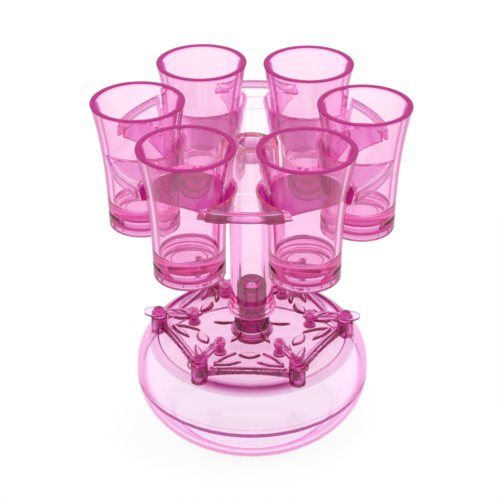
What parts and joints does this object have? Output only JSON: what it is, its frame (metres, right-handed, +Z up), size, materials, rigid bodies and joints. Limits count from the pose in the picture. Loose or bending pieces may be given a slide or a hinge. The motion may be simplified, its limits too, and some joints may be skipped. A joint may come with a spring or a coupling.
{
  "type": "party shot dispenser",
  "caption": "Free-standing drink dispenser: round reservoir with swing taps on its deck, and a lift-off column carrying a notched rack of tapered shot glasses.",
  "frame": {"origin": "centre of the flat foot under the reservoir, on the table", "axes": "+Z up along the column; -Y is the front, with two glasses either side of it; +X to the right"},
  "size_m": [0.1608, 0.147, 0.1885],
  "materials": {
    "clear_pink": "clear tinted, polished",
    "deck_pink": "clear tinted, polished",
    "rack_pink": "clear tinted, polished",
    "collar_pink": "clear tinted, deep",
    "glass_pink": "clear tinted, polished",
    "neck_pink": "clear tinted, deep",
    "band_silicone": "soft, satin",
    "tap_pink": "clear tinted, polished",
    "stopper_pink": "soft, glossy"
  },
  "bodies": {
    "base": {"lower_bowl": "clear_pink", "seam_band": "band_silicone", "upper_bowl": "clear_pink", "deck": "deck_pink", "neck": "neck_pink", "spout_1": "tap_pink", "spout_2": "tap_pink", "spout_3": "tap_pink", "spout_4": "tap_pink", "spout_5": "tap_pink", "spout_6": "tap_pink", "pivot_post_1": "tap_pink", "pivot_post_2": "tap_pink", "pivot_post_3": "tap_pink", "pivot_post_4": "tap_pink", "pivot_post_5": "tap_pink", "pivot_post_6": "tap_pink", "pivot_pins": "tap_pink"},
    "plug": {"drain_plug": "neck_pink"},
    "carrier": {"column": "clear_pink", "rack": "rack_pink", "collar_1": "collar_pink", "collar_2": "collar_pink", "collar_3": "collar_pink", "collar_4": "collar_pink", "collar_5": "collar_pink", "collar_6": "collar_pink"},
    "lever_1": {"tap_lever_1": "tap_pink", "tap_stopper_1": "stopper_pink"},
    "lever_2": {"tap_lever_2": "tap_pink", "tap_stopper_2": "stopper_pink"},
    "lever_3": {"tap_lever_3": "tap_pink", "tap_stopper_3": "stopper_pink"},
    "lever_4": {"tap_lever_4": "tap_pink", "tap_stopper_4": "stopper_pink"},
    "lever_5": {"tap_lever_5": "tap_pink", "tap_stopper_5": "stopper_pink"},
    "lever_6": {"tap_lever_6": "tap_pink", "tap_stopper_6": "stopper_pink"},
    "shot_glass_1": {"glass_1": "glass_pink"},
    "shot_glass_2": {"glass_2": "glass_pink"},
    "shot_glass_3": {"glass_3": "glass_pink"},
    "shot_glass_4": {"glass_4": "glass_pink"},
    "shot_glass_5": {"glass_5": "glass_pink"},
    "shot_glass_6": {"glass_6": "glass_pink"}
  },
  "joints": [
    {"name": "plug_lift", "type": "slide", "parent": "base", "child": "plug", "axis": [0, 0, 1], "range_m": [0, 0.04]},
    {"name": "carrier_lift", "type": "slide", "parent": "base", "child": "carrier", "axis": [0, 0, 1], "range_m": [0, 0.022]},
    {"name": "tap_1_swing", "type": "hinge", "parent": "base", "child": "lever_1", "pos_m": [0.01575, -0.02728, 0.062], "axis": [0, 0, 1], "range_deg": [0, 60]},
    {"name": "tap_2_swing", "type": "hinge", "parent": "base", "child": "lever_2", "pos_m": [0.0315, 0, 0.062], "axis": [0, 0, 1], "range_deg": [0, 60]},
    {"name": "tap_3_swing", "type": "hinge", "parent": "base", "child": "lever_3", "pos_m": [0.01575, 0.02728, 0.062], "axis": [0, 0, 1], "range_deg": [0, 60]},
    {"name": "tap_4_swing", "type": "hinge", "parent": "base", "child": "lever_4", "pos_m": [-0.01575, 0.02728, 0.062], "axis": [0, 0, 1], "range_deg": [0, 60]},
    {"name": "tap_5_swing", "type": "hinge", "parent": "base", "child": "lever_5", "pos_m": [-0.0315, 0, 0.062], "axis": [0, 0, 1], "range_deg": [0, 60]},
    {"name": "tap_6_swing", "type": "hinge", "parent": "base", "child": "lever_6", "pos_m": [-0.01575, -0.02728, 0.062], "axis": [0, 0, 1], "range_deg": [0, 60]},
    {"name": "glass_1_lift", "type": "slide", "parent": "carrier", "child": "shot_glass_1", "axis": [0, 0, 1], "range_m": [0, 0.055]},
    {"name": "glass_2_lift", "type": "slide", "parent": "carrier", "child": "shot_glass_2", "axis": [0, 0, 1], "range_m": [0, 0.055]},
    {"name": "glass_3_lift", "type": "slide", "parent": "carrier", "child": "shot_glass_3", "axis": [0, 0, 1], "range_m": [0, 0.055]},
    {"name": "glass_4_lift", "type": "slide", "parent": "carrier", "child": "shot_glass_4", "axis": [0, 0, 1], "range_m": [0, 0.055]},
    {"name": "glass_5_lift", "type": "slide", "parent": "carrier", "child": "shot_glass_5", "axis": [0, 0, 1], "range_m": [0, 0.055]},
    {"name": "glass_6_lift", "type": "slide", "parent": "carrier", "child": "shot_glass_6", "axis": [0, 0, 1], "range_m": [0, 0.055]}
  ]
}
